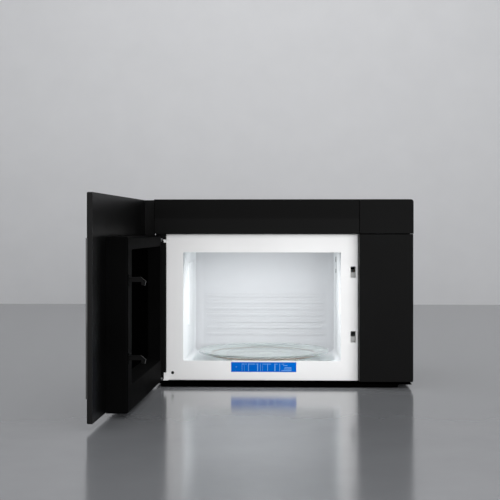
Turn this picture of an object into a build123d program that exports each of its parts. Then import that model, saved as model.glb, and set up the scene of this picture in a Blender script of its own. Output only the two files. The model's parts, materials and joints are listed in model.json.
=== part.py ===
from build123d import *
import os

# An over the range microwave oven, in millimetres. X runs to the right, Y into the
# cabinet, Z up. The origin is the centre of the cabinet's underside.

# ---- cabinet ----
cabinet_width = 600.0
cabinet_depth = 400.0
cabinet_height = 437.0
sheet = 1.0
skirt_height = 8.0
frame_setback = 42.0
left_margin = 24.0
frame_margin = 24.5

# ---- front trim ----
column_width = 122.4
column_bottom = 13.5
column_step = 0.4
column_overhang = 2.2
trim_wall = 2.5
trim_gap = 0.6
band_height = 80.0
band_inset = 1.0
cap_overhang = 3.0
band_round = 7.0
column_round = 4.2
vent_slot_width = 3.0
vent_slot_length = 60.0
vent_slot_pitch = 8.0

# ---- cavity ----
cavity_left_room = 63.5
cavity_right_room = 161.5
cavity_top_room = 121.0
cavity_back_room = 8.0
cavity_floor = 41.0
cavity_wall = 1.2
cavity_back_round = 24.0
cavity_floor_round = 12.0
mouth_margin = 1.5
mouth_sill = 57.0
mouth_drop = 3.2
frame_bottom = 10.5
frame_top_gap = 1.0
frame_bend = 6.0
frame_bend_round = 2.0
mouth_round = 2.0
lamp_slot_offset = 52.0
lamp_slot_length = 26.0
lower_lamp_slot_drop = 63.0
lower_lamp_slot_height = 11.0
upper_lamp_slot_drop = 34.0
upper_lamp_slot_height = 13.0
vent_cover_front = 27.0
vent_cover_back_room = 32.0
vent_cover_lift = 85.0
vent_cover_drop = 33.0
vent_cover_thickness = 1.5
vent_cover_round = 8.0

# ---- latch ----
latch_inset = 11.7
slot_width = 12.0
slot_height = 26.5
slot_round = 1.5
upper_slot_drop = 89.4
lower_slot_lift = 103.7
hook_width = 6.0
hook_height = 16.5
hook_reach = 34.0
hook_tip = 9.0
hook_lead = 1.0
hook_arm_lift = 7.0
hook_room = 1.0
bar_rise = 50.0
spring_radius = 2.6
spring_wall = 0.8
hook_travel = 4.0
latch_bar_depth = 6.0
latch_board_depth = 40.0
latch_board_wall = 3.0
latch_board_margin = 20.0
latch_web_setback = 37.0
latch_web_height = 17.0
latch_web_drop = 10.5
switch_setback = 20.0
switch_lift = 2.0
switch_terminal = 6.0
switch_terminal_thickness = 0.8
switch_height = 16.0
switch_width = 20.0
switch_depth = 10.0
plunger_radius = 1.6
plunger_travel = 1.2
plunger_end_room = 0.4
plunger_stand = 2.0

# ---- door ----
door_overhang = 3.0
door_bottom = 11.7
door_top_gap = 0.7
panel_thickness = 11.0
panel_wall = 2.5
panel_round = 3.0
door_gap = 2.0
glass_proud = 1.7
glass_thickness = 3.2
glass_lift = 45.3
glass_drop = 84.3
glass_hinge_inset = 4.0
glass_free_inset = 0.5
glass_edge_round = 0.8
back_cover = 1.5
choke_drop = 1.1
choke_top_gap = 2.5
choke_left = 8.0
choke_right_gap = 1.2
choke_gap = 1.0
choke_wall = 1.5
choke_round = 4.0
hinge_notch_width = 14.0
hinge_notch_height = 24.0
window_hinge_overlap = 3.0
window_latch_inset = 10.0
window_lift = 15.0
window_rise = 9.0
window_round = 6.0
flare_hinge = 20.0
flare_latch = 4.0
flare_bottom = 11.0
flare_top = 3.0
window_thickness = 3.0
window_depth = 26.0
screen_thickness = 0.6
screen_hole_radius = 4.0
screen_pitch = 18.0
return_depth = 13.0
return_wall = 3.0
hinge_room = 10.5
hinge_inset = 6.8
open_angle = 91.8

# ---- hinge ----
pin_radius = 3.0
pin_clearance = 0.05
hinge_plate_thickness = 2.5
hinge_ear_radius = 6.0
ear_gap = 0.3
bracket_thickness = 2.5
bracket_length = 46.0
bracket_tab = 30.0
bracket_tab_start = 12.0
bracket_hub_room = 8.5
pin_head_height = 1.6
pin_head_radius = 4.6
pin_end = 1.0
hinge_flange_width = 12.0
hinge_flange_thickness = 2.0
upper_flange_height = 7.0
lower_flange_height = 17.0
hinge_flange_offset = 5.5
lower_flange_lift = 1.0
upper_flange_drop = 13.0

# ---- turntable ----
plate_clearance = 12.0
turntable_forward = 3.0
plate_thickness = 4.5
plate_slope = 46.0
plate_lip = 8.0
plate_underside = 52.0
plate_rim = 65.0
track_inset = 22.0
roller_width = 8.0
roller_axle_radius = 1.6
axle_clearance = 0.05
roll_gap = 0.15
ring_height = 4.0
ring_width = 6.0
coupler_radius = 20.0
coupler_arm = 8.0
coupler_stem = 5.0
coupler_hub_radius = 10.0
coupler_arm_height = 5.0
coupler_lift = 2.0
ring_axle_end = 2.0
motor_ear = 9.0
motor_ear_width = 10.0
motor_ear_thickness = 2.0
stem_clearance = 0.1
turntable_motor_radius = 24.5
turntable_motor_height = 18.0

# ---- base pan ----
pan_left_inset = 17.0
pan_right_inset = 33.0
pan_inset = 8.0
filter_width = 140.0
filter_length = 210.0
filter_height = 6.0
filter_lip = 8.0
filter_rim = 6.0
filter_mesh_height = 3.0
filter_groove_pitch = 9.0
left_filter_inset = 123.0
right_filter_inset = 182.0
filter_lamp_gap = 20.0
lamp_width = 84.0
lamp_length = 60.0
lamp_setback = 85.0
lamp_gap = 1.0
lens_thickness = 2.4
lens_lift = 0.4
lens_pin_radius = 1.2
lens_ear = 5.0
lamp_wall = 1.2
lamp_housing_top = 36.0
lamp_rear_room = 4.0
bulb_socket_radius = 11.0
bulb_socket_height = 8.0
bulb_radius = 9.5
bulb_drop = 14.0

# ---- vent blower ----
wheel_radius = 46.0
wheel_width = 66.0
blade_count = 16
wheel_rim = 9.0
wheel_disc = 2.0
blade_thickness = 1.2
blower_setback = 90.0
blower_drop = 62.0
blower_motor_radius = 36.0
blower_motor_width = 80.0
blower_gap = 5.0
blower_foot = 10.0
blower_saddle = 20.0
scroll_wall = 1.5
rotor_shaft_radius = 4.0
inlet_radius = 30.0
charcoal_height = 20.0
charcoal_depth = 90.0
charcoal_width = 300.0
charcoal_cells = 10
charcoal_rib = 3.0
charcoal_rim = 6.0
charcoal_pocket = 5.0
exhaust_width = 254.0
exhaust_depth = 82.0

# ---- magnetron and its supply ----
waveguide_width = 90.0
waveguide_height = 60.0
waveguide_reach = 36.0
waveguide_offset = 46.0
waveguide_drop = 46.0
port_inset = 5.0
mica_margin = 8.0
mica_slot_gap = 2.0
mica_thickness = 0.6
magnetron_width = 94.0
magnetron_depth = 76.0
magnetron_height = 80.0
antenna_radius = 8.0
antenna_length = 22.0
antenna_clearance = 1.0
fin_count = 8
fin_thickness = 1.2
fin_room = 14.0
fin_end_room = 10.0
yoke_thickness = 2.0
tube_radius = 18.0
tube_clearance = 0.1
transformer_width = 90.0
transformer_depth = 104.0
transformer_height = 78.0
winding_margin = 14.0
winding_gap = 0.5
transformer_room = 28.0
transformer_setback = 90.0
core_limb = 11.25
capacitor_radius = 26.0
capacitor_length = 90.0
capacitor_spacing = 95.0
terminal_length = 8.0
terminal_radius = 2.5
terminal_offset = 9.0
clamp_width = 16.0
clamp_thickness = 1.5
clamp_foot = 12.0
diode_radius = 4.0
diode_length = 16.0
diode_gap = 30.0
diode_tab = 14.0
diode_tab_thickness = 1.2
fan_size = 104.0
fan_depth = 26.0
fan_radius = 46.0
fan_motor_radius = 20.0
fan_motor_length = 34.0
fan_hub_radius = 14.0
fan_blades = 5
fan_gap = 2.0
fan_blade_gap = 2.0
fan_arm = 3.0
fan_arm_width = 5.0
fan_hub_lift = 4.0
fan_shaft_radius = 2.0
fan_blade_chord = 22.0
fan_blade_thickness = 1.4
fan_blade_pitch = 32.0
fan_stay = 20.0

# ---- mounting ----
cabinet_bolt_spacing = 400.0
cabinet_bolt_setback = 180.0
cabinet_bolt_radius = 3.3
wall_slot_spacing = 420.0
wall_slot_z = 60.0
wall_slot_width = 6.0
wall_slot_length = 24.0
gland_radius = 9.0
gland_bore = 5.5
gland_height = 6.0
gland_flange = 2.0
gland_clearance = 0.05
gland_side_room = 60.0
gland_back_room = 35.0
screw_head_radius = 3.6
screw_head_height = 1.6
screw_end_room = 64.0
screw_back_room = 12.0
frame_screw_height = 0.7
frame_screw_inset = 15.5
frame_screw_lift = 17.8
screw_cross_length = 4.8
screw_cross_width = 1.0
screw_cross_depth = 0.4

# ---- label ----
label_width = 153.8
label_height = 23.0
label_offset = 4.4
label_drop = 3.3
label_thickness = 0.3

# ---- control board, supply board and lamp ----
board_thickness = 1.6
touch_left_room = 18.0
touch_right_room = 12.0
touch_bottom_room = 58.3
touch_top_room = 98.3
display_side = 14.0
display_top = 12.0
display_height = 32.0
display_thickness = 4.0
digit_width = 8.0
digit_height = 22.0
digit_pitch = 14.0
digit_margin = 6.0
digit_proud = 0.6
digit_count = 4
supply_board_front = 130.0
supply_board_length = 130.0
supply_board_lift = 130.0
supply_board_height = 80.0
supply_board_room = 12.0
supply_post_inset = 8.0
supply_post_radius = 3.0
relay_depth = 20.0
relay_length = 22.0
relay_height = 30.0
choke_coil_radius = 14.0
choke_coil_depth = 16.0
fuse_depth = 7.0
fuse_length = 25.0
fuse_height = 7.0
cavity_lamp_size = 30.0
cavity_lamp_height = 50.0
cavity_lamp_wall = 1.5
cavity_lamp_gap = 6.0
cavity_bulb_radius = 8.0
cutout_radius = 8.0
cutout_height = 6.0
cutout_plate_length = 24.0
cutout_plate_width = 9.0
cutout_blade_offset = 4.0
cutout_inset = 60.0

# ---- places that follow from the sizes ----
left_x = -cabinet_width / 2
right_x = cabinet_width / 2
front_y = -cabinet_depth / 2
back_y = cabinet_depth / 2
frame_y = front_y + frame_setback
body_top = cabinet_height - sheet
column_left = right_x - column_width + column_step
band_bottom = cabinet_height - band_height
frame_left = left_x + frame_margin
frame_right = column_left - trim_gap / 2
frame_top = band_bottom - frame_top_gap
pan_left = left_x + pan_left_inset
pan_right = right_x - pan_right_inset
pan_top = skirt_height + sheet

cavity_x0 = left_x + cavity_left_room
cavity_x1 = right_x - cavity_right_room
cavity_width = cavity_x1 - cavity_x0
cavity_center_x = (cavity_x0 + cavity_x1) / 2
cavity_top = cabinet_height - cavity_top_room
cavity_back = back_y - cavity_back_room
cavity_depth = cavity_back - frame_y
cavity_roof = cavity_top + cavity_wall
liner_right = cavity_x1 + cavity_wall

hinge_x = left_x + hinge_room
hinge_y = frame_y - hinge_inset
lower_ear_z = frame_bottom + lower_flange_lift
upper_flange_top = frame_top - upper_flange_drop
upper_ear_z = upper_flange_top - hinge_plate_thickness

panel_back = front_y - door_gap
panel_front = panel_back - panel_thickness
door_left = left_x - door_overhang
door_right = right_x + door_overhang
door_top = cabinet_height - door_top_gap
glass_bottom = door_bottom + glass_lift
glass_top = door_top - glass_drop
choke_face = frame_y - choke_gap
choke_x0 = hinge_x + choke_left
choke_x1 = frame_right - choke_right_gap
choke_bottom = frame_bottom - choke_drop
choke_top = frame_top - choke_top_gap
window_x0 = cavity_x0 - window_hinge_overlap
window_x1 = cavity_x1 - window_latch_inset
window_bottom = mouth_sill + window_lift
window_top = cavity_top + window_rise
window_y = choke_face - window_depth

latch_x = frame_right - latch_inset
upper_slot_z = frame_top - upper_slot_drop
lower_slot_z = frame_bottom + lower_slot_lift
slot_centres = (upper_slot_z, lower_slot_z)
channel_x0 = latch_x - slot_width / 2
channel_x1 = latch_x + slot_width / 2
latch_board_y0 = frame_y + sheet
latch_board_y1 = latch_board_y0 + latch_board_depth
hook_x0 = latch_x - hook_width / 2
hook_x1 = latch_x + hook_width / 2
bar_y1 = choke_face - choke_wall - ear_gap
bar_top = upper_slot_z + bar_rise
switch_y = frame_y + switch_setback
switch_x = channel_x1 + latch_board_wall
switch_heights = (upper_slot_z + switch_lift, lower_slot_z + switch_lift,
                  (upper_slot_z + lower_slot_z) / 2)

turntable_y = (frame_y + cavity_back) / 2 - turntable_forward
glass_radius = min(cavity_width, cavity_depth) / 2 - plate_clearance
plate_flat_radius = glass_radius - plate_slope
plate_top_of_flat = plate_underside + plate_thickness
track_radius = plate_flat_radius - track_inset
roller_radius = (plate_underside - cavity_floor) / 2 - roll_gap
roller_z = cavity_floor + roll_gap + roller_radius
ring_outer = track_radius - roller_width / 2 - roll_gap
ring_inner = ring_outer - ring_width
motor_top = cavity_floor - cavity_wall

lamp_center_y = front_y + lamp_setback
lens_x = lamp_width / 2
lens_front = lamp_center_y - lamp_length / 2
lens_rear = lamp_center_y + lamp_length / 2
lens_pin_y = lens_rear - lens_ear / 2
lens_pin_z = lens_lift + lens_thickness + lens_ear / 2
left_filter_x = pan_left + left_filter_inset
right_filter_x = pan_right - right_filter_inset
filter_center_y = lens_rear + filter_lamp_gap + filter_length / 2

blower_y = back_y - blower_setback
blower_z = body_top - blower_drop
wheel_x0 = blower_motor_width / 2 + 2 * blower_gap
wheel_x1 = wheel_x0 + wheel_width

waveguide_y = turntable_y + waveguide_offset
waveguide_z = cavity_top - waveguide_drop
guide_end = liner_right + waveguide_reach
magnetron_x1 = guide_end + magnetron_height
lamp_slot_y = waveguide_y + lamp_slot_offset
lower_lamp_slot = cavity_top - lower_lamp_slot_drop
upper_lamp_slot = cavity_top - upper_lamp_slot_drop
fan_y1 = waveguide_y - waveguide_width / 2 - fan_gap
fan_y0 = fan_y1 - fan_depth
fan_x = guide_end + magnetron_height / 2
fan_z = waveguide_z
transformer_x = liner_right + transformer_room + transformer_width / 2
transformer_y = back_y - transformer_setback
core_depth = transformer_depth - 2 * winding_margin
capacitor_y = transformer_y - capacitor_spacing
capacitor_z = sheet + clamp_thickness + capacitor_radius

cabinet_bolt_y = back_y - cabinet_bolt_setback
gland_x = right_x - gland_side_room
gland_y = back_y - gland_back_room
touch_x0 = column_left + touch_left_room
touch_x1 = right_x - touch_right_room
touch_z0 = door_bottom + touch_bottom_room
touch_z1 = door_top - touch_top_room
supply_board_x = right_x - sheet - supply_board_room
supply_board_y = front_y + supply_board_front
supply_board_z = sheet + supply_board_lift


def slab(x0, x1, y0, y1, z0, z1):
    """A block between two opposite corners."""
    middle = Pos((x0 + x1) / 2, (y0 + y1) / 2, (z0 + z1) / 2)
    return middle * Box(x1 - x0, y1 - y0, z1 - z0)


def rod_x(x0, x1, y, z, radius):
    """A round bar along X."""
    return Pos((x0 + x1) / 2, y, z) * Rot(0, 90, 0) * Cylinder(radius, x1 - x0)


def rod_y(x, y0, y1, z, radius):
    """A round bar along Y."""
    return Pos(x, (y0 + y1) / 2, z) * Rot(90, 0, 0) * Cylinder(radius, y1 - y0)


def rod_z(x, y, z0, z1, radius):
    """A round bar along Z."""
    return Pos(x, y, (z0 + z1) / 2) * Cylinder(radius, z1 - z0)


def rounded(block, axis, radius):
    """The block with its four edges along one axis rounded."""
    return fillet(block.edges().filter_by(axis), radius)


def save(name, *solids):
    """Writes one node, which may hold several like solids."""
    shape = solids[0] if len(solids) == 1 else Compound(children=list(solids))
    export_step(shape, f"parts/{name}.step")


# ================= cabinet =================


def base_pan():
    tray = slab(pan_left, pan_right, front_y + pan_inset, back_y - pan_inset, 0, pan_top)
    flange = slab(left_x + sheet, right_x - sheet, front_y + 3 * sheet, back_y - sheet,
                  skirt_height, pan_top)
    hollow = slab(pan_left + sheet, pan_right - sheet, front_y + pan_inset + sheet,
                  back_y - pan_inset - sheet, sheet, pan_top)
    pan = tray + flange - hollow
    reach_x = filter_width / 2 - filter_lip
    reach_y = filter_length / 2 - filter_lip
    for x in (left_filter_x, right_filter_x):
        pan -= slab(x - reach_x, x + reach_x, filter_center_y - reach_y,
                    filter_center_y + reach_y, 0, sheet)
    return pan - slab(-lens_x - lamp_gap, lens_x + lamp_gap, lens_front - lamp_gap,
                      lens_rear + lamp_gap, 0, sheet)


def grease_filter(x):
    """A framed mesh panel lying over its opening in the pan."""
    y0 = filter_center_y - filter_length / 2
    y1 = filter_center_y + filter_length / 2
    x0, x1 = x - filter_width / 2, x + filter_width / 2
    body = slab(x0, x1, y0, y1, sheet, sheet + filter_height)
    rim = filter_rim
    mesh_top = sheet + filter_mesh_height
    body -= slab(x0 + rim, x1 - rim, y0 + rim, y1 - rim, mesh_top, sheet + filter_height)
    count = int((filter_length - 2 * rim) / filter_groove_pitch) - 1
    groove = filter_groove_pitch / 3
    for i in range(count):
        y = y0 + rim + filter_groove_pitch * (i + 1)
        body -= slab(x0 + 2 * rim, x1 - 2 * rim, y, y + groove, mesh_top - filter_mesh_height / 2, mesh_top)
    return body


def lamp_housing():
    x = lens_x + lamp_gap
    y0, y1 = lens_front - lamp_gap, lens_rear + lamp_rear_room
    box = slab(-x - lamp_wall, x + lamp_wall, y0 - lamp_wall, y1 + lamp_wall, sheet, lamp_housing_top)
    box -= slab(-x, x, y0, y1, sheet, lamp_housing_top - lamp_wall)
    hole = rod_x(-x - 2 * lamp_wall, x + 2 * lamp_wall, lens_pin_y, lens_pin_z,
                 lens_pin_radius + pin_clearance)
    return box - hole


def lamp_cover():
    """The hinged lens with two ears and their stub pins."""
    lens = slab(-lens_x, lens_x, lens_front, lens_rear, lens_lift, lens_lift + lens_thickness)
    for side in (-1, 1):
        edge = side * lens_x
        inner = side * (lens_x - lens_ear)
        tip = side * (lens_x + lamp_gap + lamp_wall)
        lens += slab(min(edge, inner), max(edge, inner), lens_rear - lens_ear, lens_rear,
                     lens_lift, lens_pin_z + lens_ear / 2)
        lens += rod_x(min(inner, tip), max(inner, tip), lens_pin_y, lens_pin_z, lens_pin_radius)
    return lens


def cooktop_bulb():
    top = lamp_housing_top - lamp_wall
    socket = rod_z(0, lamp_center_y, top - bulb_socket_height, top, bulb_socket_radius)
    return socket + Pos(0, lamp_center_y, top - bulb_drop) * Sphere(bulb_radius)


def outer_wrapper():
    side_bottom = pan_top
    box = slab(left_x, right_x, frame_y, back_y, side_bottom, body_top)
    hollow = slab(left_x + sheet, right_x - sheet, frame_y + sheet, back_y, side_bottom, body_top - sheet)
    mouth = slab(left_x + left_margin, right_x - left_margin / 2, frame_y, frame_y + sheet,
                 side_bottom, body_top - left_margin / 2)
    wrapper = box - hollow - mouth
    top_cut = (body_top - sheet, body_top)
    wrapper -= slab(-exhaust_width / 2, exhaust_width / 2, blower_y - exhaust_depth / 2,
                    blower_y + exhaust_depth / 2, *top_cut)
    for side in (-1, 1):
        wrapper -= rod_z(side * cabinet_bolt_spacing / 2, cabinet_bolt_y, *top_cut, cabinet_bolt_radius)
    return wrapper - rod_z(gland_x, gland_y, *top_cut, gland_radius)


def cord_gland():
    """A grommet in the top, where the supply cord would leave."""
    z0, z1 = body_top - sheet - gland_height, body_top - sheet
    ring = rod_z(gland_x, gland_y, z0, body_top, gland_radius - gland_clearance)
    ring += rod_z(gland_x, gland_y, z0, z1, gland_radius + gland_flange)
    return ring - rod_z(gland_x, gland_y, z0, body_top, gland_bore)


def rear_panel():
    panel = slab(left_x + sheet, right_x - sheet, back_y - sheet, back_y, pan_top, body_top - sheet)
    for side in (-1, 1):
        x = side * wall_slot_spacing / 2
        reach = wall_slot_length / 2 - wall_slot_width / 2
        y0, y1 = back_y - sheet, back_y
        slot = slab(x - reach, x + reach, y0, y1, wall_slot_z - wall_slot_width / 2,
                    wall_slot_z + wall_slot_width / 2)
        for end in (-reach, reach):
            slot += rod_y(x + end, y0, y1, wall_slot_z, wall_slot_width / 2)
        panel -= slot
    return panel


def hollow_trim(x0, x1, z0, z1, rounding):
    """A front moulding, open at its back, with its outer edges rounded."""
    block = rounding(slab(x0, x1, front_y, frame_y, z0, z1))
    return block - slab(x0 + trim_wall, x1 - trim_wall, front_y + trim_wall, frame_y,
                        z0 + trim_wall, z1 - trim_wall)


def top_band():
    x0, x1 = left_x + band_inset, column_left - trim_gap

    def soften(block):
        front_edges = block.edges().group_by(Axis.Y)[0]
        picked = front_edges.group_by(Axis.Z)[-1] + front_edges.group_by(Axis.X)[0]
        return fillet(picked, trim_wall / 2)

    band = hollow_trim(x0, x1, band_bottom, cabinet_height, soften)
    count = int((x1 - x0 - vent_slot_length) / (vent_slot_length + vent_slot_pitch))
    for i in range(count):
        x = x0 + vent_slot_pitch * 2 + i * (vent_slot_length + vent_slot_pitch)
        for row in range(3):
            y = front_y + 2 * vent_slot_pitch + row * vent_slot_pitch
            band -= slab(x, x + vent_slot_length, y, y + vent_slot_width,
                         cabinet_height - trim_wall, cabinet_height)
    return band


def top_cap():
    def soften(block):
        corner = block.edges().filter_by(Axis.Y).group_by(Axis.X)[-1].group_by(Axis.Z)[-1]
        block = fillet(corner, band_round)
        return fillet(block.edges().group_by(Axis.Y)[0], trim_wall / 2)

    return hollow_trim(column_left, right_x + cap_overhang, band_bottom, cabinet_height, soften)


def control_column():
    def soften(block):
        corner = block.edges().filter_by(Axis.Y).group_by(Axis.X)[-1].group_by(Axis.Z)[0]
        block = fillet(corner, column_round)
        return fillet(block.edges().group_by(Axis.Y)[0], trim_wall / 2)

    return hollow_trim(column_left, right_x + column_overhang, column_bottom, band_bottom - trim_gap, soften)


def front_frame():
    """The white plate round the cavity mouth, with its edges bent back."""
    block = slab(frame_left, frame_right, frame_y, frame_y + frame_bend, frame_bottom, frame_top)
    block = fillet(block.edges().group_by(Axis.Y)[0], frame_bend_round)
    block -= slab(frame_left + sheet, frame_right - sheet, frame_y + sheet, frame_y + frame_bend,
                  frame_bottom + sheet, frame_top - sheet)
    mouth = slab(cavity_x0 + mouth_margin, cavity_x1 - mouth_margin, frame_y, frame_y + sheet,
                 mouth_sill, cavity_top - mouth_drop)
    block -= rounded(mouth, Axis.Y, mouth_round)
    for z in slot_centres:
        slot = slab(latch_x - slot_width / 2, latch_x + slot_width / 2, frame_y, frame_y + sheet,
                    z - slot_height / 2, z + slot_height / 2)
        block -= rounded(slot, Axis.Y, slot_round)
    return block


def cavity_block(grow):
    """The cavity's space, with its back corners and floor edges rounded."""
    block = slab(cavity_x0 - grow, cavity_x1 + grow, frame_y + sheet, cavity_back + grow,
                 cavity_floor - grow, cavity_top + grow)
    upright = block.edges().filter_by(Axis.Z).group_by(Axis.Y)[-1]
    block = fillet(upright, cavity_back_round + grow)
    floor_edges = block.faces().sort_by(Axis.Z)[0].edges()
    front_edge = floor_edges.group_by(Axis.Y)[0]
    return fillet([e for e in floor_edges if e not in front_edge], cavity_floor_round + grow)


def cavity_liner():
    liner = cavity_block(cavity_wall) - cavity_block(0)
    liner -= rod_z(cavity_center_x, turntable_y, cavity_floor - cavity_wall, cavity_floor,
                   coupler_stem + coupler_lift)
    half_y = waveguide_width / 2 - port_inset
    half_z = waveguide_height / 2 - port_inset
    liner -= slab(cavity_x1, liner_right, waveguide_y - half_y, waveguide_y + half_y,
                  waveguide_z - half_z, waveguide_z + half_z)
    for z, height in ((lower_lamp_slot, lower_lamp_slot_height), (upper_lamp_slot, upper_lamp_slot_height)):
        liner -= slab(cavity_x1, liner_right, lamp_slot_y, lamp_slot_y + lamp_slot_length, z, z + height)
    return liner


def waveguide_cover():
    """The mica sheet over the waveguide's port."""
    overlap = mica_margin - port_inset
    half_z = waveguide_height / 2 + overlap
    return slab(cavity_x1 - mica_thickness, cavity_x1, waveguide_y - waveguide_width / 2 - overlap,
                lamp_slot_y - mica_slot_gap, waveguide_z - half_z, waveguide_z + half_z)


def cavity_vent_cover():
    plate = slab(cavity_x0, cavity_x0 + vent_cover_thickness, turntable_y - vent_cover_front,
                 cavity_back - vent_cover_back_room, cavity_floor + vent_cover_lift,
                 cavity_top - vent_cover_drop)
    return rounded(plate, Axis.X, vent_cover_round)


# ================= latch board and hinge plates =================

def latch_board():
    wall = latch_board_wall
    z0 = lower_slot_z - slot_height / 2 - latch_board_margin
    z1 = upper_slot_z + slot_height / 2 + latch_board_margin
    board = slab(channel_x0 - wall, switch_x, latch_board_y0, latch_board_y1, z0, z1)
    board -= slab(channel_x0, channel_x1, latch_board_y0, latch_board_y1, z0 + wall, z1 - wall)
    for z in switch_heights:
        board -= rod_x(channel_x1, switch_x, switch_y, z, plunger_radius + axle_clearance)
    web_y = frame_y + latch_web_setback
    for z in slot_centres:
        web_z = z - latch_web_drop - latch_web_height / 2
        board += slab(channel_x0, channel_x1, web_y, latch_board_y1, web_z, web_z + latch_web_height)
    return board


def microswitch(z):
    """A switch body with the blind hole that its plunger slides in."""
    body = slab(switch_x, switch_x + switch_width, switch_y - switch_depth / 2,
                switch_y + switch_depth / 2, z - switch_height / 2, z + switch_height / 2)
    depth = 3 * plunger_radius + plunger_travel + plunger_end_room
    bore = rod_x(switch_x, switch_x + depth, switch_y, z, plunger_radius + axle_clearance)
    tip = switch_x + switch_width
    half = switch_terminal_thickness / 2
    terminals = slab(tip, tip + switch_terminal, switch_y - half, switch_y + half,
                     z - switch_terminal, z + switch_terminal)
    return body - bore + terminals


def plunger(z):
    return rod_x(channel_x1 - plunger_stand, switch_x + 3 * plunger_radius, switch_y, z, plunger_radius)


def hinge_plate(flange_z0, flange_z1, ear_z):
    flange_x = frame_left - hinge_flange_offset
    flange = slab(flange_x, flange_x + hinge_flange_width, frame_y - hinge_flange_thickness, frame_y,
                  flange_z0, flange_z1)
    ear_top = ear_z + hinge_plate_thickness
    ear = slab(hinge_x, flange_x + hinge_flange_width, hinge_y - hinge_ear_radius, frame_y, ear_z, ear_top)
    ear += slab(hinge_x - hinge_ear_radius, hinge_x, hinge_y, frame_y, ear_z, ear_top)
    ear += rod_z(hinge_x, hinge_y, ear_z, ear_top, hinge_ear_radius)
    return flange + ear - rod_z(hinge_x, hinge_y, ear_z, ear_top, pin_radius)


def hinge_pin(ear_z):
    top = ear_z + hinge_plate_thickness + ear_gap + bracket_thickness + pin_end
    pin = rod_z(hinge_x, hinge_y, ear_z, top, pin_radius)
    return pin + rod_z(hinge_x, hinge_y, ear_z - pin_head_height, ear_z, pin_head_radius)


# ================= turntable =================

def turntable_glass():
    """A shallow glass dish turned from one profile."""
    lip = plate_rim - plate_thickness
    bend = glass_radius - plate_lip
    with BuildPart() as dish:
        with BuildSketch(Plane.XZ):
            with BuildLine():
                Polyline((0, plate_underside), (plate_flat_radius, plate_underside),
                         (bend, lip), (glass_radius, lip), (glass_radius, plate_rim),
                         (bend, plate_rim), (plate_flat_radius, plate_top_of_flat),
                         (0, plate_top_of_flat), (0, plate_underside))
            make_face()
        revolve(axis=Axis.Z)
    return Pos(cavity_center_x, turntable_y, 0) * dish.part


def drive_coupler():
    """A three-armed hub under the glass, with its stem down to the motor."""
    hub_bottom = cavity_floor + coupler_lift
    hub = rod_z(0, 0, hub_bottom, plate_underside, coupler_hub_radius)
    for i in range(3):
        arm = slab(0, coupler_radius, -coupler_arm / 2, coupler_arm / 2,
                   plate_underside - coupler_arm_height, plate_underside)
        hub += Rot(0, 0, 120 * i) * arm
    hub += rod_z(0, 0, motor_top - turntable_motor_height / 2, hub_bottom, coupler_stem)
    return Pos(cavity_center_x, turntable_y, 0) * hub


def turntable_motor():
    x, y = cavity_center_x, turntable_y
    body = rod_z(x, y, motor_top - turntable_motor_height, motor_top, turntable_motor_radius)
    ear_reach = turntable_motor_radius + motor_ear
    half = motor_ear_width / 2
    body += slab(x - ear_reach, x + ear_reach, y - half, y + half, motor_top - motor_ear_thickness, motor_top)
    well = rod_z(x, y, motor_top - turntable_motor_height / 2 - sheet, motor_top,
                 coupler_stem + stem_clearance)
    return body - well


def roller_place(i):
    return Pos(cavity_center_x, turntable_y, roller_z) * Rot(0, 0, 90 + 120 * i)


def roller_ring():
    ring = Cylinder(ring_outer, ring_height) - Cylinder(ring_inner, ring_height)
    ring = Pos(cavity_center_x, turntable_y, roller_z) * ring
    wheel_end = track_radius + roller_width / 2
    axle_end = wheel_end + ring_axle_end
    for i in range(3):
        axle = rod_x(ring_outer - ring_width / 2, axle_end, 0, 0, roller_axle_radius)
        stop = rod_x(wheel_end + roll_gap, axle_end, 0, 0, 2 * roller_axle_radius)
        ring += roller_place(i) * (axle + stop)
    return ring


def roller(i):
    x0, x1 = track_radius - roller_width / 2, track_radius + roller_width / 2
    wheel = rod_x(x0, x1, 0, 0, roller_radius) - rod_x(x0, x1, 0, 0, roller_axle_radius + axle_clearance)
    return roller_place(i) * wheel


# ================= vent blower =================

def blower_housing():
    """Two scroll casings on one base plate, blowing up through the top."""
    outlet_top = body_top - sheet
    half = exhaust_depth / 2
    outer_radius = wheel_radius + blower_gap + scroll_wall
    x1 = wheel_x1 + blower_gap + scroll_wall
    housing = slab(-x1, x1, blower_y - half - blower_foot, blower_y + half + blower_foot,
                   cavity_roof, cavity_roof + scroll_wall)
    for side in (-1, 1):
        near = side * (wheel_x0 - blower_gap - scroll_wall)
        far = side * x1
        a, b = min(near, far), max(near, far)
        inner_radius = outer_radius - scroll_wall
        scroll = rod_x(a, b, blower_y, blower_z, outer_radius)
        scroll += slab(a, b, blower_y - half, blower_y + half, blower_z, outlet_top)
        scroll += slab(a, b, blower_y - half, blower_y + half, cavity_roof, blower_z - outer_radius / 2)
        inside = rod_x(a + scroll_wall, b - scroll_wall, blower_y, blower_z, inner_radius)
        inside += slab(a + scroll_wall, b - scroll_wall, blower_y - half + scroll_wall,
                       blower_y + half - scroll_wall, blower_z, outlet_top)
        scroll -= inside
        scroll -= rod_x(a, b, blower_y, blower_z, inlet_radius)
        housing += scroll
    return housing


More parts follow.
